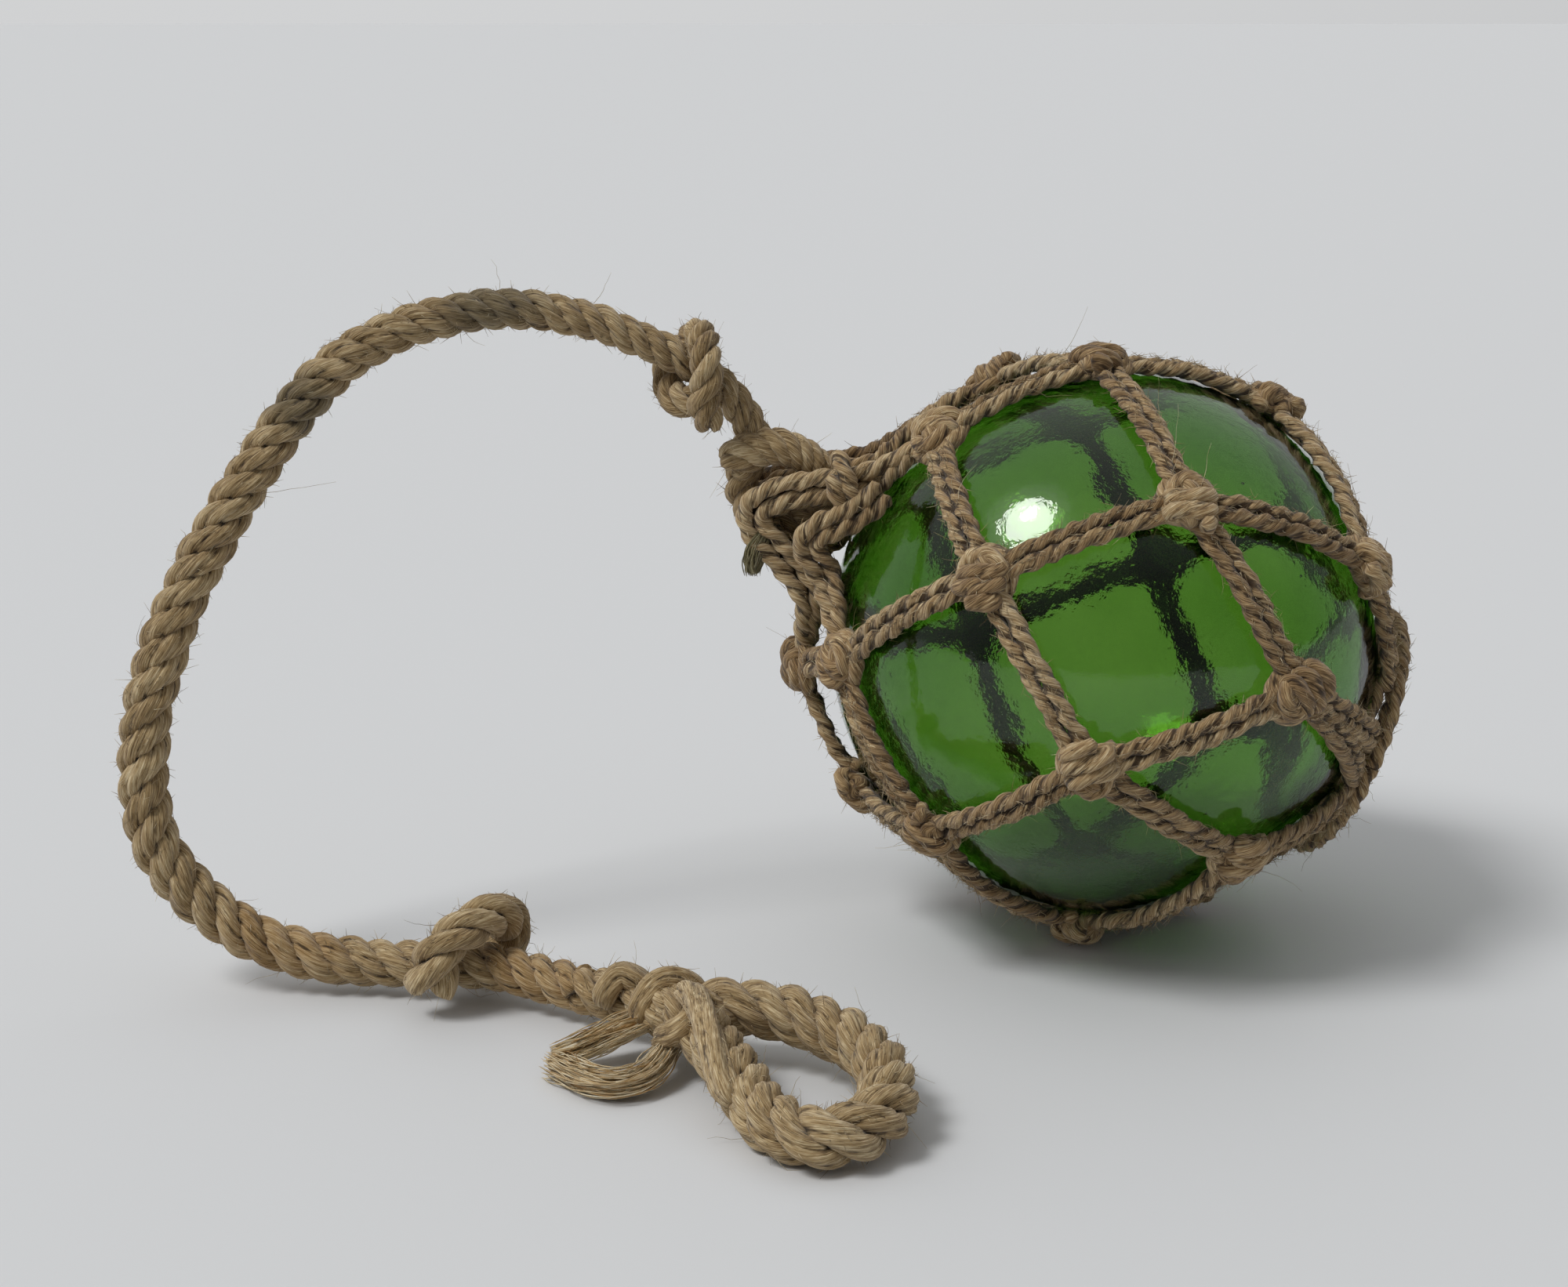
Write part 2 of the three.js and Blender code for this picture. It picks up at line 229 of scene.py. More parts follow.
STRAND_WANDER, STRAND_SWELL = 0.04, 0.06        # shares of the rope's and the strand's radius
TONE_SPREAD = 0.025         # how far strands differ in tone
RIDGES = 0.03               # yarns stand this share of a strand's radius proud
RIGHT_LAID, LEFT_LAID = 1, -1


def placed(points):
    """Route points in millimetres from the ball's foot, as metres in the row frame."""
    return foot + np.array(points, float) * MM


def travelled(path):
    """Distance along a path at each of its points."""
    return np.concatenate([[0], np.cumsum(np.linalg.norm(np.diff(path, axis=0), axis=1))])


def even(curve, step):
    """The same line with points a step apart."""
    far = travelled(curve)
    want = np.linspace(0, far[-1], max(3, round(far[-1] / step) + 1))
    return np.stack([np.interp(want, far, curve[:, i]) for i in range(3)], 1)


def smooth_route(points, step):
    """Evenly spaced points on the centripetal Catmull-Rom curve through the route's points."""
    p = np.array(points, float)
    p = np.vstack([2 * p[0] - p[1], p, 2 * p[-1] - p[-2]])
    out = []
    for a, b, c, d in zip(p, p[1:], p[2:], p[3:]):
        t1 = np.sqrt(np.linalg.norm(b - a))
        t2 = t1 + np.sqrt(np.linalg.norm(c - b))
        t3 = t2 + np.sqrt(np.linalg.norm(d - c))
        t = np.linspace(t1, t2, 12, endpoint=False)[:, None]
        ab = a + (b - a) * t / t1
        bc = b + (c - b) * (t - t1) / (t2 - t1)
        cd = c + (d - c) * (t - t2) / (t3 - t2)
        abc = ab + (bc - ab) * t / t2
        bcd = bc + (cd - bc) * (t - t1) / (t3 - t1)
        out.append(abc + (bcd - abc) * (t - t1) / (t2 - t1))
    return even(np.vstack(out + [p[-2][None]]), step)


def frames(path):
    """Two directions square to the path at each point, carried along it without twist."""
    along = np.gradient(path, axis=0)
    along /= np.linalg.norm(along, axis=1)[:, None]
    side = np.zeros_like(path)
    n = np.cross(along[0], [0.3, 0.2, 1.0])
    for i, t in enumerate(along):
        n = n - t * (n @ t)
        n /= np.linalg.norm(n)
        side[i] = n
    return side, np.cross(along, side)


def profile(name, turn, radius):
    """A closed section with a radius at each angle, for strands to be swept with."""
    curve = bpy.data.curves.new(name, "CURVE")
    curve.dimensions = "2D"
    spline = curve.splines.new("POLY")
    spline.points.add(len(turn) - 1)
    for point, a, r in zip(spline.points, turn, radius):
        point.co = (r * math.cos(a), r * math.sin(a), 0, 1)
    spline.use_cyclic_u = True
    return {"object": linked(name, curve), "turn": turn, "radius": radius}


def lobed_section(name, lobes, depth, sides):
    """A round section of unit radius with soft grooves between its lobes."""
    turn = np.arange(sides) * 2 * math.pi / sides
    return profile(name, turn, 1 - depth * np.abs(np.sin(turn * lobes / 2)) ** 6)


Strand = namedtuple("Strand", "path radii twist tone around", defaults=[None])
STREAK_SHIFT = 0.617        # metres between two strands' streaks, so that none look alike


def swept(name, section, strands, material, ridges=0.0):
    """One mesh of strands, ridged along their fibres by a share of their radius. Where a strand
    lies around another line, its inner side is painted darker, as painted shade."""
    curve = bpy.data.curves.new(name, "CURVE")
    curve.dimensions = "3D"
    curve.bevel_mode = "OBJECT"
    curve.bevel_object = section["object"]
    curve.twist_mode = "MINIMUM"
    laid, tones, crests = [], [], []
    turn = section["turn"]
    for order, strand in enumerate(strands):
        count = len(strand.path)
        spline = curve.splines.new("POLY")
        spline.points.add(count - 1)
        spline.points.foreach_set("co", np.hstack([strand.path, np.ones((count, 1))]).ravel())
        spline.points.foreach_set("radius", strand.radii)
        spline.points.foreach_set("tilt", strand.twist)
        size = section["radius"] * np.mean(strand.radii)
        ring = np.stack([size * np.cos(turn), size * np.sin(turn)], 1)
        far = travelled(strand.path) + order * STREAK_SHIFT
        laid.append(np.hstack([np.tile(ring, (count, 1)), np.repeat(far, len(turn))[:, None]]))
        tones.append(np.full(count * len(turn), strand.tone))
    holder = linked(name, curve)
    bpy.context.view_layer.update()
    mesh = bpy.data.meshes.new_from_object(
        holder.evaluated_get(bpy.context.evaluated_depsgraph_get()))
    bpy.data.objects.remove(holder)
    bpy.data.curves.remove(curve)
    place = np.empty(len(mesh.vertices) * 3)
    mesh.vertices.foreach_get("co", place)
    place = np.split(place.reshape(-1, len(turn), 3),
                     np.cumsum([len(strand.path) for strand in strands])[:-1])
    ridge_rng = np.random.default_rng(5)
    for strand, rings in zip(strands, place):
        count = len(strand.path)
        crest = np.tile(section["radius"], (count, 1))
        if ridges:
            wave = ridge_rng.normal(0, ridges, (count // 3 + 2, len(turn)))
            spots = np.linspace(0, len(wave) - 1.001, count)
            low, part = spots.astype(int), (spots % 1)[:, None]
            height = np.clip(wave[low] * (1 - part) + wave[low + 1] * part, -2 * ridges, 2 * ridges)
            height[[0, -1]] = 0
            crest = crest * (1 + height)
            rings += (rings - strand.path[:, None]) * height[:, :, None]
        # Painted shade: the side of a strand that faces the line it lies around gets a lower crest,
        # so it is painted darker
        if strand.around is not None:
            out = strand.path - strand.around
            out /= np.linalg.norm(out, axis=1)[:, None]
            beside = rings - strand.path[:, None]
            beside /= np.linalg.norm(beside, axis=2)[:, :, None] + 1e-9
            facing = np.clip((np.einsum("ij,ikj->ik", out, beside) + 0.5) / 0.8, 0, 1)
            crest = crest * (0.55 + 0.45 * np.sqrt(facing))
        crests.append(crest.ravel())
    mesh.vertices.foreach_set("co", np.vstack([rings.reshape(-1, 3) for rings in place]).ravel())
    return dressed(name, mesh, material, np.vstack(laid), np.concatenate(tones),
                   np.concatenate(crests))


def dressed(name, mesh, material, laid, tones, crests):
    """Closes the strands' ends, keeps their own coordinates as attributes, and sets the finish."""
    mesh.name = name
    mesh.attributes.new("laid", "FLOAT_VECTOR", "POINT").data.foreach_set(
        "vector", laid.astype(np.float32).ravel())
    mesh.attributes.new("tone", "FLOAT", "POINT").data.foreach_set(
        "value", tones.astype(np.float32))
    mesh.attributes.new("crest", "FLOAT", "POINT").data.foreach_set(
        "value", crests.astype(np.float32))
    bm = bmesh.new()
    bm.from_mesh(mesh)
    bmesh.ops.holes_fill(bm, edges=[e for e in bm.edges if e.is_boundary], sides=0)
    bmesh.ops.recalc_face_normals(bm, faces=bm.faces)
    for face in bm.faces:
        face.smooth = len(face.verts) == 4
    bm.to_mesh(mesh)
    bm.free()
    mesh.materials.clear()
    mesh.materials.append(material)
    piece = linked(name, mesh)
    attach(piece, "root")
    return piece


def slow_noise(count, step, wave, rng):
    """Smooth random numbers of about unit size, one for each point of a path."""
    knots = rng.normal(0, 1, max(4, int(count * step / wave) + 3))
    return np.interp(np.linspace(0, len(knots) - 1.001, count), np.arange(len(knots)), knots)


def blunt(radii, step, length):
    """Radii that round off over a length at both ends."""
    far = np.arange(len(radii)) * step
    end = np.minimum(far, far[-1] - far)
    return radii * np.sqrt(np.clip(1 - (1 - np.clip(end / length, 0, 1)) ** 2, 0.02, 1))


def rope_strands(path, radii, hand, rng, start=0.0, lay=LAY_PER_DIAMETER, ends=0.0, number=3):
    """The strands of a laid rope, with yarns twisted the other way along each."""
    share = math.sin(math.pi / number) / (1 + math.sin(math.pi / number)) * STRAND_FULLNESS
    step = np.linalg.norm(path[1] - path[0])
    side, up = frames(path)
    turned = start + hand * np.cumsum(step / (lay * 2 * radii)) * 2 * math.pi
    slope = 2 * math.pi * (1 - share) / (2 * lay)
    made = []
    for k in range(number):
        angle = turned + k * 2 * math.pi / number
        wander = 1 + STRAND_WANDER * slow_noise(len(path), step, 12 * MM, rng)
        offset = (1 - share) * radii * wander
        way = side * np.cos(angle)[:, None] + up * np.sin(angle)[:, None]
        size = share * radii * (1 + STRAND_SWELL * slow_noise(len(path), step, 7 * MM, rng))
        if ends:
            size = blunt(size, step, ends)
        twist = -hand * np.cumsum(step / (share * radii)) * slope
        # Each strand's side towards the rope's middle is painted darker, as painted shade
        made.append(Strand(path + way * offset[:, None], size, twist,
                           rng.normal(0, TONE_SPREAD), path))
    return made


def single_strand(path, radius, rng):
    """One strand on its own, hardly twisted, thinning into the rope at both ends."""
    radii = blunt(np.full(len(path), radius), ROPE_STEP, 5 * MM)
    return Strand(path, radii, 0.15 * travelled(path) / radius, rng.normal(0, TONE_SPREAD))


strand_section = lobed_section("strand_section", lobes=4, depth=0.2, sides=24)
fuzzy_section = lobed_section("fuzzy_section", lobes=3, depth=0.1, sides=18)
rng = np.random.default_rng(7)

rope_path = smooth_route(placed(ROPE_ROUTE), ROPE_STEP)


def ease(t):
    """0 to 1 with a soft start and a soft stop."""
    t = np.clip(t, 0, 1)
    return t * t * (3 - 2 * t)


gone = np.linspace(0, 1, len(rope_path))
rope_radii = ROPE_SLIM + (ROPE_FULL - ROPE_SLIM) * ease(gone / FULL_FROM)
rope_radii += (ROPE_NECK - ROPE_FULL) * ease((gone - NECK_FROM) / (1 - NECK_FROM))
lanyard_strands = rope_strands(rope_path, rope_radii, RIGHT_LAID, rng)
lanyard = swept("lanyard_rope_laid", strand_section, lanyard_strands, rope_jute, ridges=RIDGES)
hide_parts("lanyard_rope")


# ---- Lanyard crown eye ----
# The rope's upper end, turned back on itself through the net's crown and spliced. The splice
# on top is fat, with the blunt ends of its strands away from the ball, and thins to one rope.
SPLICED_ROUTE = [
    (-102.5, -2.5, 129.5), (-98.8, -3, 133), (-93.1, -3.5, 135.2), (-86.7, -3.5, 134.9),
    (-80.4, -3, 131.5), (-75.5, -2, 126.5), (-73.5, -1, 121),
]
BIGHT_ROUTE = [
    (-76.5, -2, 129), (-74.2, 0, 122), (-76.5, 1, 116), (-83, 1.5, 112.8), (-91, 1.5, 113.5),
    (-97.5, 1, 118.5), (-99.5, 0, 125.5), (-96.5, -1, 132),
]
SPLICE_FAT, SPLICE_THINS, BIGHT_RADIUS = 5.9 * MM, 1.6 * MM, 4.9 * MM
BLUNT_END = 3 * MM

spliced_path = smooth_route(placed(SPLICED_ROUTE), ROPE_STEP)
thinning = ease(np.linspace(0, 1, len(spliced_path)))
crown_eye_strands = rope_strands(spliced_path, SPLICE_FAT - SPLICE_THINS * thinning, RIGHT_LAID,
                                 rng, start=0.6, lay=1.5, ends=BLUNT_END, number=4)
bight_path = smooth_route(placed(BIGHT_ROUTE), ROPE_STEP)
crown_eye_strands += rope_strands(bight_path, np.full(len(bight_path), BIGHT_RADIUS), RIGHT_LAID,
                                  rng, ends=BLUNT_END)
crown_eye = swept("lanyard_crown_eye_laid", fuzzy_section, crown_eye_strands, rope_jute,
                  ridges=RIDGES)
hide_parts("lanyard_crown_eye")


# ---- Hand eye ----
# The free end, turned back into a teardrop loop and left lying on the surface. Its strands
# are tucked over and under through the neck, and what is over hangs out as a loose tail.
EYE_RADIUS = 7.3 * MM
EYE_ROUTE = [
    (-122, -89, 11.5), (-114, -97, 12.5), (-101, -99, 14.5), (-88, -101.5, 14), (-75, -110, 13),
    (-66.5, -123.5, 12), (-64, -138, 10.5), (-69, -150, 8.8), (-79.5, -154.5, 7.6),
    (-90, -147, 7.6), (-97, -131, 8.8), (-103.5, -116, 11), (-110, -102, 12.5),
    (-118, -93, 11.5),
]
SPLICE_RADIUS = 6.6 * MM
SPLICE_ROUTE = [
    (-140, -74.3, 9), (-137.9, -75.7, 9), (-129, -82, 9.8), (-119, -91, 11.4), (-109, -99, 13),
]
TUCK_RADIUS = 3.5 * MM
TUCK_ROUTES = [
    [(-132.3, -86, 9), (-131.6, -88, 14.5), (-128.4, -87, 18), (-124.4, -87, 16.5),
     (-121.5, -84, 11)],
    [(-123.5, -96, 8), (-122.2, -96, 14), (-118, -93.5, 19), (-112.4, -91.5, 18),
     (-107.5, -91, 13)],
    [(-113, -95, 15), (-110.6, -101, 19), (-107.5, -112, 19.5), (-104.9, -124, 17),
     (-102, -135, 12.5), (-99, -141, 9)],
    [(-107, -104, 17), (-112, -110, 14), (-116.5, -105, 9), (-114, -98, 6)],
]

eye_path = smooth_route(placed(EYE_ROUTE), ROPE_STEP)
splice_path = smooth_route(placed(SPLICE_ROUTE), ROPE_STEP)
hand_eye_strands = rope_strands(eye_path, np.full(len(eye_path), EYE_RADIUS), RIGHT_LAID, rng,
                                start=1.0, ends=BLUNT_END)
hand_eye_strands += rope_strands(splice_path, np.full(len(splice_path), SPLICE_RADIUS),
                                 RIGHT_LAID, rng, start=2.4, lay=1.9, ends=BLUNT_END)
for route in TUCK_ROUTES:
    path = smooth_route(placed(route), ROPE_STEP)
    hand_eye_strands.append(single_strand(path, TUCK_RADIUS, rng))
hand_eye = swept("lanyard_hand_eye_laid", strand_section, hand_eye_strands, rope_jute,
                 ridges=RIDGES)
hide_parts("lanyard_hand_eye")


# ---- Hand eye's loose tail ----
# Two unlaid strands of the free end, combed out into straight golden fibres that lie in a
# loose bend on the surface and come together at a ragged point.
TAIL_ROUTES = [
    [(-112, -93, 12), (-117, -94, 11), (-124, -97, 9.5), (-131, -100, 7.5), (-139, -103, 5),
     (-146, -104.5, 3.2)],
    [(-112, -101, 10), (-116, -108, 7.5), (-119.5, -115, 5.2), (-126.5, -119.5, 4.2),
     (-134, -116.5, 3.8), (-141.5, -109, 3.5), (-145.5, -104.5, 3)],
]
TAIL_FIBRES, TAIL_YARNS = 190, 14        # yarns that hold together among the loose fibres
TAIL_SPREAD = 3.1 * MM
TAIL_FIBRE_RADIUS, TAIL_YARN_RADIUS = 0.19 * MM, 1.1 * MM
TAIL_STEP, TAIL_FIBRE_STEP = 2.2 * MM, 1.6 * MM
FIBRE_DRIFT = 0.1           # share of the spread that a fibre strays at each step
FIBRE_TONES = 0.06
TABLE_GAP = 0.3 * MM

# Combed fibre is clean, pale and golden, with hardly any dirt or painted shade between the fibres
tail_jute = jute(
    "combed_golden_jute",
    [[0.34, "#b98f56"], [0.46, "#dcc08f"], [0.54, "#ecd8b0"], [0.68, "#fff6dc"]],
    groove=0.2,
)
hair_turn = np.arange(3) * 2 * math.pi / 3
hair_section = profile("hair_section", hair_turn, np.ones(3))


def tail_fibres(route, count, spread, rng, ragged=16 * MM, radius=TAIL_FIBRE_RADIUS):
    """Loose fibres along a route, spread evenly through it and ending here and there."""
    path = smooth_route(placed(route), TAIL_STEP)
    side, up = frames(path)
    far = travelled(path)
    fibres = []
    for _ in range(count):
        angle, reach = rng.uniform(0, 2 * math.pi), math.sqrt(rng.uniform(0, 1))
        last = len(path) - int(rng.exponential(0.25) * ragged / TAIL_STEP) % (len(path) // 3)
        gone = far / far[-1]
        bulk = spread * (0.62 + 0.38 * np.sin(math.pi * gone)) * (1 - 0.45 * gone ** 3) * reach
        drift = FIBRE_DRIFT * spread * np.cumsum(rng.normal(0, 1, (len(path), 2)), 0)
        line = (path + side * (bulk * math.cos(angle) + drift[:, 0])[:, None]
                + up * (bulk * 0.72 * math.sin(angle) + drift[:, 1])[:, None])
        line[:, 2] = np.maximum(line[:, 2], TABLE_GAP)
        line = smooth_route(line[:last:2], TAIL_FIBRE_STEP)
        radii = blunt(np.full(len(line), radius), TAIL_FIBRE_STEP, 2 * MM)
        fibres.append(Strand(line, radii, np.zeros(len(line)), rng.normal(0, FIBRE_TONES)))
    return fibres


tail = []
for route in TAIL_ROUTES:
    tail += tail_fibres(route, TAIL_FIBRES, TAIL_SPREAD, rng)
    tail += tail_fibres(route, TAIL_YARNS, TAIL_SPREAD * 0.6, rng, radius=TAIL_YARN_RADIUS)
loose_tail = swept("lanyard_loose_tail", hair_section, tail, tail_jute)
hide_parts("lanyard_hand_eye")


# ---- Hitches ----
# Two short lengths of three-strand rope, a little thinner than the lanyard, each turned once
# round it. The upper one's end is tucked under itself. Both ends of the lower one lie free
# on the surface, and its cut end has opened.
UPPER_HITCH = [
    (-106.6, -7.5, 141.5), (-109, -9.8, 146.5), (-108.2, -11, 154.5), (-108.8, -8.5, 161.4),
    (-110, -1, 165.2), (-113.3, 7, 162.5), (-118.5, 8.5, 157), (-119, 3, 151.5),
    (-115.8, -4, 148.2), (-110.7, -6, 148),
]
UPPER_HITCH_RADIUS = 4.5 * MM
LOWER_HITCH = [
    (-178.5, -69.5, 8), (-177.6, -71.5, 12.5), (-175.6, -72, 17.4), (-172, -70.5, 21),
    (-168, -67.5, 23.2), (-164.2, -63.5, 24), (-161, -58, 22.4), (-159.6, -52.5, 18.5),
    (-160.4, -48.6, 12.5), (-163.5, -47, 8), (-168.5, -46.5, 6.4), (-174, -46.5, 6.4),
]
LOWER_HITCH_RADIUS = 5.9 * MM
FRAYED_RADIUS = 7.5 * MM
FRAYED_LENGTH = 12 * MM

upper_path = smooth_route(placed(UPPER_HITCH), ROPE_STEP)
upper_strands = rope_strands(upper_path, np.full(len(upper_path), UPPER_HITCH_RADIUS),
                             RIGHT_LAID, rng, lay=1.9, ends=BLUNT_END)
upper_hitch = swept("hitch_upper_laid", fuzzy_section, upper_strands, rope_jute, ridges=RIDGES)
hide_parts("hitch_upper")

lower_path = smooth_route(placed(LOWER_HITCH), ROPE_STEP)
opened = 1 - ease(travelled(lower_path) / FRAYED_LENGTH)
lower_radii = LOWER_HITCH_RADIUS + (FRAYED_RADIUS - LOWER_HITCH_RADIUS) * opened
lower_strands = rope_strands(lower_path, lower_radii, RIGHT_LAID, rng, start=2.2, lay=2.1,
                             ends=1.5 * MM)
lower_hitch = swept("hitch_lower_laid", fuzzy_section, lower_strands, rope_jute, ridges=RIDGES)
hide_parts("hitch_lower")


# ---- Glass float ----
# A blown shell of bottle-green glass, whose colour deepens where sight runs along the wall.
# The outside is glossy with faint pits. The inner wall is uneven from blowing, and seed
# bubbles are caught in the glass.
GLASS_RADIUS = (ball_high.z - ball_low.z) / 2
WALL = 3.4 * MM
CAD_CLEARANCE = 0.05 * MM       # keeps the shell inside the solid that it replaces
SWELLS = [(30, 0.55), (75, 0.22), (190, 0.07)]      # waves a metre, height in millimetres
SWELL_PLACE = Vector((7, 3, 1))
BUBBLES = 70
BUBBLE_RADII = 0.12 * MM, 0.38 * MM
BUBBLE_DEPTH = WALL * 0.4
GREEN = (0.40, 0.66, 0.03, 1)   # what the glass lets through
GREEN_DENSITY = 575.0
PITS = 300                      # waves a metre, about 3 mm each, of the chilled skin
PIT_DEPTH = 0.2 * MM

shell = bmesh.new()
bmesh.ops.create_icosphere(shell, subdivisions=6, radius=GLASS_RADIUS - CAD_CLEARANCE)
inner = bmesh.ops.create_icosphere(shell, subdivisions=6, radius=GLASS_RADIUS - WALL)["verts"]
for vert in inner:
    depth = sum(height * MM * noise.noise(vert.co * waves + SWELL_PLACE)
                for waves, height in SWELLS)
    vert.co *= 1 + depth / vert.co.length
bmesh.ops.reverse_faces(shell, faces=list({f for v in inner for f in v.link_faces}))
dice = random.Random(11)
for _ in range(BUBBLES):
    out = Vector((dice.gauss(0, 1), dice.gauss(0, 1), dice.gauss(0, 1))).normalized()
    size = dice.uniform(*BUBBLE_RADII)
    bubble = bmesh.ops.create_icosphere(shell, subdivisions=2, radius=size)["verts"]
    stretch = dice.uniform(1, 1.8)
    for vert in bubble:
        vert.co.x *= stretch
    bmesh.ops.rotate(shell, verts=bubble, matrix=out.to_track_quat("Z", "Y").to_matrix())
    bmesh.ops.translate(shell, verts=bubble, vec=out * (GLASS_RADIUS - BUBBLE_DEPTH))
    bmesh.ops.reverse_faces(shell, faces=list({f for v in bubble for f in v.link_faces}))
for face in shell.faces:
    face.smooth = True
bmesh.ops.translate(shell, verts=shell.verts, vec=Vector(ball))
shell_mesh = bpy.data.meshes.new("glass_float_shell")
shell.to_mesh(shell_mesh)
shell.free()

glass, nodes = new_material("bottle_green_blown_glass")
tint = add(nodes, "ShaderNodeVolumeAbsorption", Density=GREEN_DENSITY, Color=GREEN)
place = add(nodes, "ShaderNodeTexCoord").outputs["Object"]
pits = add(nodes, "ShaderNodeTexNoise", [("Vector", place)], Scale=PITS, Detail=3, Roughness=0.6)
uneven = add(nodes, "ShaderNodeBump", [("Height", pits.outputs["Fac"])],
             Strength=0.45, Distance=PIT_DEPTH)
clear = add(nodes, "ShaderNodeBsdfPrincipled",
            [("Base Color", (1, 1, 1, 1)), ("Normal", uneven.outputs["Normal"])],
            Roughness=0.0, IOR=1.52, Transmission_Weight=1.0)
add(nodes, "ShaderNodeOutputMaterial",
    [("Surface", clear.outputs["BSDF"]), ("Volume", tint.outputs["Volume"])])
shell_mesh.materials.append(glass)
float_ball = linked("glass_float_shell", shell_mesh)
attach(float_ball, "root")
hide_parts("glass_ball")


# ---- Net ----
# Two-ply jute cord, used double: two cords lie side by side in each leg of the net, and
# each knot is a few turns of them round the crossing. The net is hauled up to a crown.
CORD_RADIUS = 2.25 * MM
CORD_STEP = 1.0 * MM
CORD_LAY = 12.4 * MM
CORD_SWELL = 0.05               # share of the radius by which a cord thickens and thins
CORD_TONES = 0.03
CORD_RIDGES = 0.07
LEG_SPREAD = CORD_RADIUS * 0.8
LEG_HEIGHT = CORD_RADIUS + 0.25 * MM
NET_AXIS_TILT = math.radians(21)
# (degrees from the crown end of the axis, degrees round it, extra height in mm if any)
KNOT_ROWS = [
    [(29, -40), (33, 66), (49, 117), (42, 165), (40, 220), (26, 271, 5)],
    [(53, 15), (66, 82), (74, 140), (72, 200), (91, 262), (66, 309)],
    [(85, 41), (103, 93), (108, 168), (110, 249), (105, 288), (85, 348)],
    [(128, 54), (130, 130), (134, 205), (132, 268), (123, 334), (117, 375)],
]
MEND_KNOT = (53, -84)
RING_POLAR = 155
RING_LEG_ENDS = 40, 120, 200, 285, 345, 352, 372     # degrees round it; the last knot has two
RING_CORDS = [(-2.2, 2.4), (2.2, 2.4), (0, 5.6)]     # mm towards the crown, mm off the glass

net_axis = np.array([-math.cos(NET_AXIS_TILT), 0, math.sin(NET_AXIS_TILT)])
net_front = np.array([0, -1, 0])
net_up = np.array([math.sin(NET_AXIS_TILT), 0, math.cos(NET_AXIS_TILT)])


def direction(knot):
    """The way from the ball's centre to a knot."""
    polar, round_it = math.radians(knot[0]), math.radians(knot[1])
    return (net_axis * math.cos(polar) + net_front * math.sin(polar) * math.cos(round_it)
            + net_up * math.sin(polar) * math.sin(round_it))


def stand_off(knot):
    """How far a knot stands off the glass, beyond the cord's own thickness."""
    return (knot[2] if len(knot) > 2 else 0) * MM


def on_glass(knot, height):
    """A place on the net, at a height in metres above the glass, from the ball's centre."""
    return direction(knot) * (GLASS_RADIUS + height + stand_off(knot))


def leg_line(start, end, count=24):
    """An arc round the glass, from the ball's centre, whose distance changes evenly."""
    r0, r1 = np.linalg.norm(start), np.linalg.norm(end)
    a, b = start / r0, end / r1
    angle = math.acos(np.clip(a @ b, -1, 1))
    t = np.linspace(0, 1, count)[:, None]
    way = (a * np.sin((1 - t) * angle) + b * np.sin(t * angle)) / math.sin(angle)
    return way * (r0 + (r1 - r0) * t)


def cord_strand(points, rng, hand=LEFT_LAID, radius=CORD_RADIUS, lay=CORD_LAY, ends=0.0,
                around=None):
    """A twisted cord along points given from the ball's centre."""
    path = even(points + ball, CORD_STEP)
    path[:, 2] = np.maximum(path[:, 2], 1.2 * radius)       # it presses flat under the ball
    count = len(path)
    if around is not None:
        around = np.stack([np.interp(np.linspace(0, 1, count), np.linspace(0, 1, len(around)),
                                     around[:, i] + ball[i]) for i in range(3)], 1)
    radii = radius * (1 + CORD_SWELL * slow_noise(count, CORD_STEP, 3 * MM, rng))
    if ends:
        radii = blunt(radii, CORD_STEP, ends)
    twist = (hand * 2 * math.pi * np.arange(count) * CORD_STEP / lay
             + 0.35 * slow_noise(count, CORD_STEP, 9 * MM, rng) + rng.uniform(0, 6))
    return Strand(path, radii, twist, rng.normal(0, CORD_TONES), around)


def leg_cords(start, end, rng):
    """The two cords of a leg, side by side, each wandering a little."""
    line = even(leg_line(start, end), CORD_STEP)
    out = line / np.linalg.norm(line, axis=1)[:, None]
    side = np.cross(out, np.gradient(line, axis=0))
    side /= np.linalg.norm(side, axis=1)[:, None]
    count = len(line)
    made = []
    bow = rng.normal(0, 0.5) * MM * np.sin(np.linspace(0, math.pi, count))
    for way in (-1, 1):
        apart = way * LEG_SPREAD + bow + 0.18 * MM * slow_noise(count, CORD_STEP, 8 * MM, rng)
        lift = 0.25 * MM * np.abs(slow_noise(count, CORD_STEP, 10 * MM, rng))
        # Each cord's side towards the glass is painted darker, as painted shade
        made.append(cord_strand(line + side * apart[:, None] + out * lift[:, None], rng,
                                around=line - out * 1.2 * MM))
    return made


first, second, third, fourth = KNOT_ROWS


def net_legs():
    """The pairs of places that legs join: each knot with the two above it. Where the net was
    mended beside the crown, legs run through a knot of their own, and one leg is doubled."""
    pairs = []
    for above, below in ((first, second), (second, third), (third, fourth)):
        for i, knot in enumerate(below):
            pairs += [(above[i], knot), (above[(i + 1) % 6], knot)]
    for left_out in ((first[4], second[4]), (first[5], second[4]), (first[5], second[5])):
        pairs.remove(left_out)
    pairs += [(first[0], second[5]), (first[5], MEND_KNOT), (MEND_KNOT, second[4]),
              (MEND_KNOT, second[5]), (first[0], first[5]), (first[4], second[4])]
    pairs += [(knot, (RING_POLAR, at)) for knot, at in zip(fourth + fourth[-1:], RING_LEG_ENDS)]
    return pairs


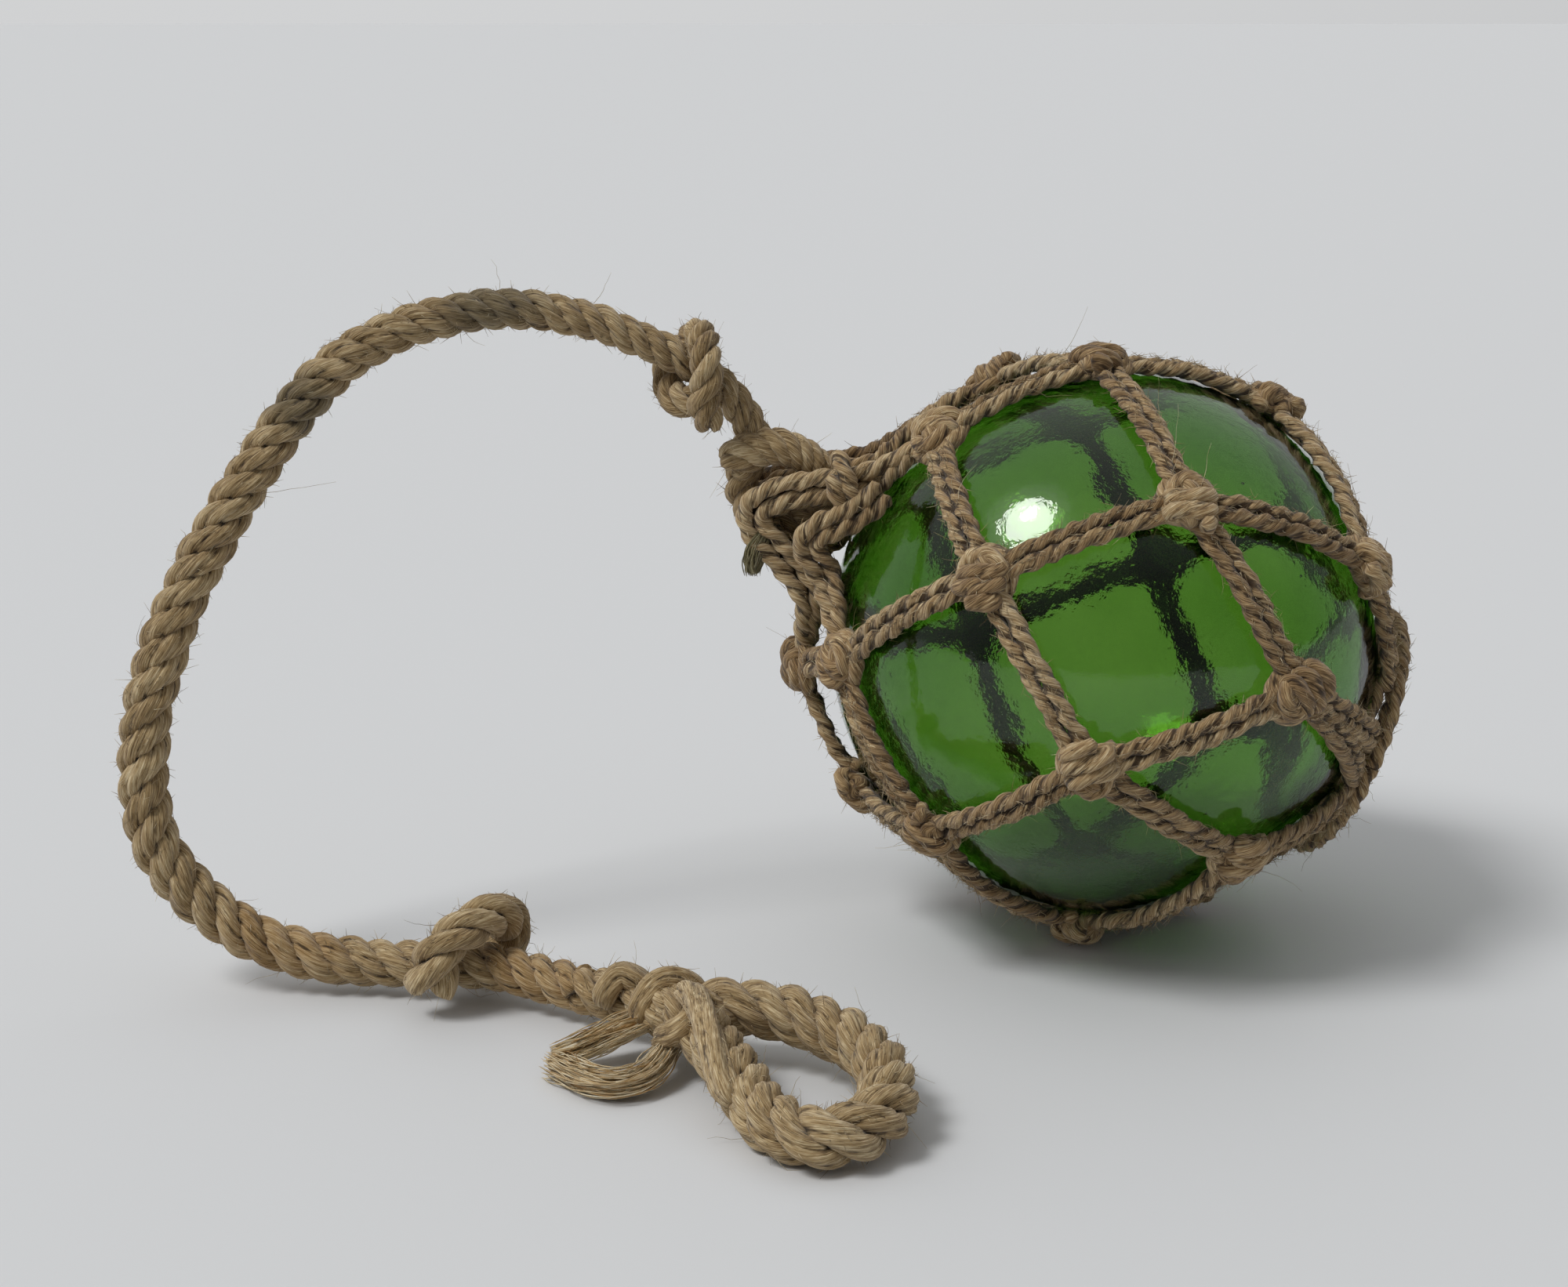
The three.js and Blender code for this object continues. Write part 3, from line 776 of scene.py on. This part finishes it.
# Thin cord holds more dirt than rope does, so it is a little browner
net_jute = jute(
    "twisted_jute_net_cord",
    [[0.38, "#624b2e"], [0.46, "#9b7d57"], [0.54, "#b99c70"], [0.64, "#e6d2aa"]],
    groove=0.85,
)
PLY_SIDES = 16
PLY_OFFSET, PLY_RADIUS = 0.38, 0.64      # shares of the cord's radius
CORD_GROOVE, KNOT_GROOVE = 0.76, 0.62    # least radius between the plies
KNOT_SOFTNESS = 0.5                      # how much the plies are pressed flat in a knot
ply_turn = np.arange(PLY_SIDES) * 2 * math.pi / PLY_SIDES
to_ply = (ply_turn + math.pi / 2) % math.pi - math.pi / 2
ply_radius = (PLY_OFFSET * np.cos(to_ply)
              + np.sqrt(PLY_RADIUS ** 2 - (PLY_OFFSET * np.sin(to_ply)) ** 2))
pressed = PLY_OFFSET + PLY_RADIUS - np.maximum(ply_radius, KNOT_GROOVE)
cord_section = profile("cord_section", ply_turn, np.maximum(ply_radius, CORD_GROOVE))
knot_section = profile("knot_section", ply_turn, 1 - KNOT_SOFTNESS * pressed)

net_rng = np.random.default_rng(23)
cords = []
for a, b in net_legs():
    cords += leg_cords(on_glass(a, LEG_HEIGHT), on_glass(b, LEG_HEIGHT), net_rng)

ring = np.array([on_glass((RING_POLAR, a), 0) for a in range(0, 375, 15)])
ring_out = ring / np.linalg.norm(ring, axis=1)[:, None]
for crownward, height in RING_CORDS:
    line = ring + ring_out * height * MM + net_axis * crownward * MM
    cords.append(cord_strand(smooth_route(line, CORD_STEP), net_rng))
legs = swept("net_legs", cord_section, cords, net_jute, ridges=CORD_RIDGES)
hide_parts("net")


# ---- Net knots ----
# Each knot is a full band of turns of the doubled cord round the crossing, with two more cords
# bent round one side of the band and down under the legs. Handling has dulled them.
WRAP_PITCH = 3.9 * MM
WRAP_HALF_WIDTH = 4.5 * MM
WRAP_HALF_DEPTH = 2.1 * MM
WRAP_SKEW = 0.22                # share of the pitch by which the turns lean
CORD_END = 1.5 * MM             # length over which a cut end is rounded
KNOT_LAY = 22 * MM              # cord that is pulled tight untwists a little
KNOT_CORE = 1.6                 # the hidden middle and the turns, against the cord's radius
KNOT_TURN = 1.1
KNOT_ARCH = 1.05
ARCHES = [(7.0, 6.4, -2.6), (5.6, 4.7, 0.3)]    # mm long, wide and high, from the knot's middle
KNOT_DULL = 0.01


def knot_cords(knot, lean, turns, rng):
    """A knot's cords, with its band's axis leaning by an angle from the net's rings."""
    out = direction(knot)
    level = np.cross(net_axis, out)
    level /= np.linalg.norm(level)
    rise = np.cross(out, level)
    u = level * math.cos(lean) + rise * math.sin(lean)
    v = np.cross(out, u)
    centre = out * (GLASS_RADIUS + 0.3 * MM + CORD_RADIUS + WRAP_HALF_DEPTH + stand_off(knot))
    t = np.linspace(0, 1, round(26 * turns))[:, None]
    angle = 2 * math.pi * turns * t + rng.uniform(-1, 1) - math.pi * turns
    swell = 1 + 0.14 * np.sin(math.pi * t) + 0.04 * slow_noise(len(t), 1, 12, rng)[:, None]
    skew = WRAP_SKEW * v * np.sin(angle) * WRAP_PITCH
    band = (centre + u * ((t - 0.5) * turns * WRAP_PITCH + 1.4 * MM) + u * 0.8 * MM * np.sin(angle)
            + v * WRAP_HALF_WIDTH * swell * np.cos(angle) + skew
            + out * WRAP_HALF_DEPTH * swell * np.sin(angle))
    made = [cord_strand(band, rng, radius=CORD_RADIUS * KNOT_TURN, lay=KNOT_LAY,
                        ends=CORD_END)]
    core = centre + u * np.linspace(-6, 7.5, 12)[:, None] * MM - out * 0.4 * MM
    made.append(cord_strand(core, rng, radius=CORD_RADIUS * KNOT_CORE, lay=KNOT_LAY,
                            ends=BLUNT_END))
    sweep = np.linspace(math.radians(42), math.radians(318), 30)[:, None]
    for long, wide, high in ARCHES:
        arch = (centre + u * long * MM * np.cos(sweep) + v * wide * MM * np.sin(sweep)
                + out * (high - (3.4 + high) * np.cos(sweep / 2) ** 4 * 0.9) * MM)
        made.append(cord_strand(arch, rng, radius=CORD_RADIUS * KNOT_ARCH, lay=KNOT_LAY,
                                ends=CORD_END))
    return made


knots = []
for row in KNOT_ROWS:
    for knot in row:
        knots += knot_cords(knot, net_rng.uniform(-0.9, 0.9) + math.pi * net_rng.integers(0, 2),
                            net_rng.uniform(2.1, 2.9), net_rng)
knots += knot_cords(MEND_KNOT, 0.4, 2.3, net_rng)
knots = [cord._replace(tone=cord.tone - KNOT_DULL) for cord in knots]
knot_piece = swept("net_knots", knot_section, knots, net_jute, ridges=CORD_RIDGES)
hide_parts("net")


# ---- Crown ----
# The first row's cords are hauled together, folded round the lanyard's crown eye and brought
# back down to the knots below. One pair is seized round the rest, and one end is left frayed.
# Routes in millimetres from the ball's centre
CROWN_HOOK = [
    (-64, -13, 47.5), (-72, -12.5, 46), (-81, -11, 44.5), (-90, -10.5, 42.5), (-96, -10.2, 38),
    (-95, -10, 33), (-90.5, -10, 28), (-85.5, -10, 22), (-81, -10, 15),
]
INNER_HOOK = np.array([0.985, 0.55, 0.97])       # the second hook, against the first
HOOK_APART, BEND_APART = 2.4, 2.2
FRONT_BEND = [
    (-76.5, -18, 22), (-79.5, -18.5, 27), (-81.5, -19, 31), (-79, -19, 34.3), (-73, -19, 37),
    (-67, -19, 40.5), (-61, -19, 45.5),
]
SEIZING_AT = np.array([-72, -13, 46.5])
SEIZING_ALONG = np.array([-0.94, 0.06, -0.25])
SEIZING_HIGH, SEIZING_WIDE = 6.6, 5.6
SEIZING_PITCH = 0.62            # mm along for each radian round
CROWN_CORD = 1.12               # cords bend here loosely, so they are fuller
FRONT = np.array([0, 1, 0])
CROWN_TAIL = [(-93, -10, 32), (-95, -10, 28.5), (-96, -9.5, 24.5), (-96, -9, 20.5)]
CROWN_TAIL_FIBRES, CROWN_TAIL_SPREAD = 130, 3.2 * MM


def crown_cord(points, rng, ends=0.0):
    """A cord through points in millimetres from the ball's centre."""
    return cord_strand(smooth_route(np.array(points) * MM, CORD_STEP), rng,
                       radius=CORD_RADIUS * CROWN_CORD, ends=ends)


def pair(line, apart):
    """Two lines beside a line, spread square to it and to the front."""
    line = np.array(line, float)
    along = np.gradient(line, axis=0)
    beside = np.cross(along, FRONT)
    beside /= np.linalg.norm(beside, axis=1)[:, None]
    return [line + beside * apart, line - beside * apart]


def clear_of_glass(point, reach):
    """The point, in millimetres from the ball's centre, pushed out to at least this reach."""
    point = np.array(point, float)
    return point * max(1, reach / np.linalg.norm(point))


crown_cords = []
hook = np.array(CROWN_HOOK, float)
reach = GLASS_RADIUS / MM + 3
for side, start, end in ((1, first[1], first[5]), (-1, first[2], first[4])):
    a = on_glass(start, LEG_HEIGHT) / MM
    b = on_glass(end, LEG_HEIGHT) / MM
    hooks = pair(hook * [1, side, 1], HOOK_APART)
    hooks += pair(hook * INNER_HOOK * [1, side, 1], HOOK_APART)
    for line in hooks:
        lead = [clear_of_glass(a * (1 - t) + line[0] * t, reach) for t in (0.33, 0.66)]
        back = clear_of_glass((b + line[-1]) / 2, reach)
        crown_cords.append(crown_cord([a, *lead, *line, back, b], net_rng))
for side, start in ((1, first[0]), (-1, first[3])):
    a = on_glass(start, LEG_HEIGHT) / MM
    for line in pair(np.array(FRONT_BEND) * [1, side, 1], BEND_APART):
        lead = [clear_of_glass(a * (1 - t) + line[0] * t, reach) for t in (0.3, 0.6, 0.85)]
        crown_cords.append(crown_cord([a, *lead, *line], net_rng, ends=CORD_END))
above = np.cross(SEIZING_ALONG, FRONT)
above /= np.linalg.norm(above)
turn = np.linspace(-0.9, 2 * math.pi * 1.35, 40)[:, None]
seizing = (SEIZING_AT + above * SEIZING_HIGH * np.cos(turn) - FRONT * SEIZING_WIDE * np.sin(turn)
           + SEIZING_ALONG * (turn - 4) * SEIZING_PITCH)
crown_cords.append(crown_cord(seizing, net_rng, ends=CORD_END))
crown = swept("net_crown", cord_section, crown_cords, net_jute, ridges=CORD_RIDGES)
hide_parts("net")

# An end that has been wet: dull and grey-green
green_jute = jute(
    "weathered_jute_end",
    [[0.36, "#5c5436"], [0.46, "#857b56"], [0.54, "#a39a74"], [0.66, "#c9c29c"]],
    groove=0.2,
)
crown_tail_route = np.array(CROWN_TAIL) + ball / MM - foot / MM
end_fibres = tail_fibres(crown_tail_route, CROWN_TAIL_FIBRES, CROWN_TAIL_SPREAD, net_rng,
                         ragged=5 * MM)
crown_tail = swept("net_crown_frayed_end", hair_section, end_fibres, green_jute)
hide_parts("net")


# ---- Stray fibres ----
# Jute is hairy: short fibres stand off every strand, and a few long ones have worked loose.
# They are thicker than real ones so that they carry from a distance.
HAIR_RADIUS = 0.085 * MM
LONG_HAIR, SHORT_HAIR = (3, 10), (0.7, 2.6)     # mm
HAIR_BEND, HAIR_CRIMP = 0.45, 0.025             # shares of a hair's length
HAIR_OVER_GLASS, HAIR_OVER_TABLE = 0.25 * MM, 0.15 * MM

# Single fibres catch the light, so they look paler than the strands that they stand on
hair_jute = jute(
    "stray_jute_fibre",
    [[0.36, "#7c6646"], [0.46, "#a58d66"], [0.54, "#c4ad84"], [0.66, "#e6d7b3"]],
    groove=0.0,
)


def stray(path, radii, rng, long):
    """One fibre that leaves a strand's surface and bends away from it."""
    i = rng.integers(1, len(path) - 1)
    along = path[i + 1] - path[i - 1]
    along /= np.linalg.norm(along)
    out = np.cross(along, rng.normal(0, 1, 3))
    out /= np.linalg.norm(out)
    from_ball = path[i] + out * radii[i] - ball
    if np.linalg.norm(from_ball) < GLASS_RADIUS + 2 * MM:
        out = from_ball / np.linalg.norm(from_ball)
        out = out - along * (out @ along)
    length = rng.uniform(*(LONG_HAIR if long else SHORT_HAIR)) * MM
    rise = rng.uniform(0.1, 0.75)
    way = along * rng.choice([-1, 1]) * math.cos(rise) + out * math.sin(rise)
    bend = rng.normal(0, HAIR_BEND, 3)
    t = np.linspace(0, 1, 9 if long else rng.choice([2, 3]))[:, None]
    line = path[i] + out * radii[i] * 0.93 + length * (way * t + bend * t * t)
    line += rng.normal(0, HAIR_CRIMP, line.shape) * length * t
    apart = line - ball
    far = np.linalg.norm(apart, axis=1)[:, None]
    line = ball + apart * np.maximum(1, (GLASS_RADIUS + HAIR_OVER_GLASS) / far)
    line[:, 2] = np.maximum(line[:, 2], HAIR_OVER_TABLE)
    return Strand(line, HAIR_RADIUS * (1.15 - 0.8 * t[:, 0]), np.zeros(len(line)),
                  rng.normal(0, FIBRE_TONES))


hair_rng = np.random.default_rng(41)
# (piece, CAD node, hairs, share of long ones, the strands that they stand on)
HAIRS = [
    ("hair_rope", "lanyard_rope", 6500, 0.012, lanyard_strands + upper_strands + lower_strands),
    ("hair_eyes", "lanyard_hand_eye", 5500, 0.02, hand_eye_strands + crown_eye_strands),
    ("hair_net", "net", 15000, 0.012, cords),
    ("hair_knots", "net", 5500, 0.012, knots + crown_cords),
]
for name, node, count, share, strands in HAIRS:
    weight = np.array([len(strand.path) for strand in strands], float)
    picks = hair_rng.choice(len(strands), count, p=weight / weight.sum())
    hairs = [stray(strands[k].path, strands[k].radii, hair_rng, hair_rng.uniform() < share)
             for k in picks]
    piece = swept(name, hair_section, hairs, hair_jute)
    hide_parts(node)

for section in (strand_section, fuzzy_section, cord_section, knot_section, hair_section):
    bpy.data.objects.remove(section["object"])


# ---- Floor and light ----
# A plain pale floor. One broad sun stands high at the left front, with a small bright middle
# and a haze round it. The air is bright over and beyond the part and dim on the near side.
FLOOR_HALF = 60
FLOOR_PAINT, AIR = "#d8d9da", "#f6f7f8"
KEYS = [((-0.52, -0.26, 0.81), 20, 1.35), ((-0.5, -0.22, 0.84), 6, 0.12)]   # way, degrees, strength
BRIGHT_WAY = (-0.15, 0.68, 0.5)
AIR_DIM, AIR_BRIGHT = 0.14, 0.72
DIM_AT, BRIGHT_AT = -0.3, 0.75          # how far a way of seeing agrees with the bright way
HAZE_FROM, HAZE_STRENGTH = 0.935, 1.2

floor = bmesh.new()
bmesh.ops.create_grid(floor, x_segments=1, y_segments=1, size=FLOOR_HALF)
floor_mesh = bpy.data.meshes.new("floor")
floor.to_mesh(floor_mesh)
floor.free()
pale, nodes = new_material("pale_matt_floor")
paint = add(nodes, "ShaderNodeBsdfPrincipled", [("Base Color", linear(FLOOR_PAINT))],
            Roughness=0.7)
add(nodes, "ShaderNodeOutputMaterial", [("Surface", paint.outputs["BSDF"])])
floor_mesh.materials.append(pale)
linked("floor", floor_mesh)

for order, (way, across, strength) in enumerate(KEYS):
    name = "key_light_%d" % order
    key = linked(name, bpy.data.lights.new(name, "SUN"))
    key.data.angle = math.radians(across)
    key.data.energy = strength
    key.rotation_euler = (-Vector(way)).to_track_quat("-Z", "Y").to_euler()

world = bpy.data.worlds.new("pale_air")
bpy.context.scene.world = world
world.use_nodes = True
nodes = world.node_tree
toward = add(nodes, "ShaderNodeTexCoord").outputs["Generated"]
lit = add(nodes, "ShaderNodeVectorMath", [(0, toward), (1, BRIGHT_WAY)], operation="DOT_PRODUCT")
shade = add(nodes, "ShaderNodeMapRange", [("Value", lit.outputs["Value"])],
            From_Min=DIM_AT, From_Max=BRIGHT_AT, To_Min=AIR_DIM, To_Max=AIR_BRIGHT)
near_key = add(nodes, "ShaderNodeVectorMath",
               [(0, toward), (1, Vector(KEYS[0][0]).normalized())], operation="DOT_PRODUCT")
haze = add(nodes, "ShaderNodeMapRange", [("Value", near_key.outputs["Value"])],
           From_Min=HAZE_FROM, To_Max=HAZE_STRENGTH, interpolation_type="SMOOTHERSTEP")
total = add(nodes, "ShaderNodeMath", [(0, shade.outputs["Result"]), (1, haze.outputs["Result"])],
            operation="ADD")
sky = nodes.nodes["Background"]
nodes.links.new(total.outputs[0], sky.inputs["Strength"])
sky.inputs["Color"].default_value = linear(AIR)
bpy.context.scene.view_settings.view_transform = "Standard"
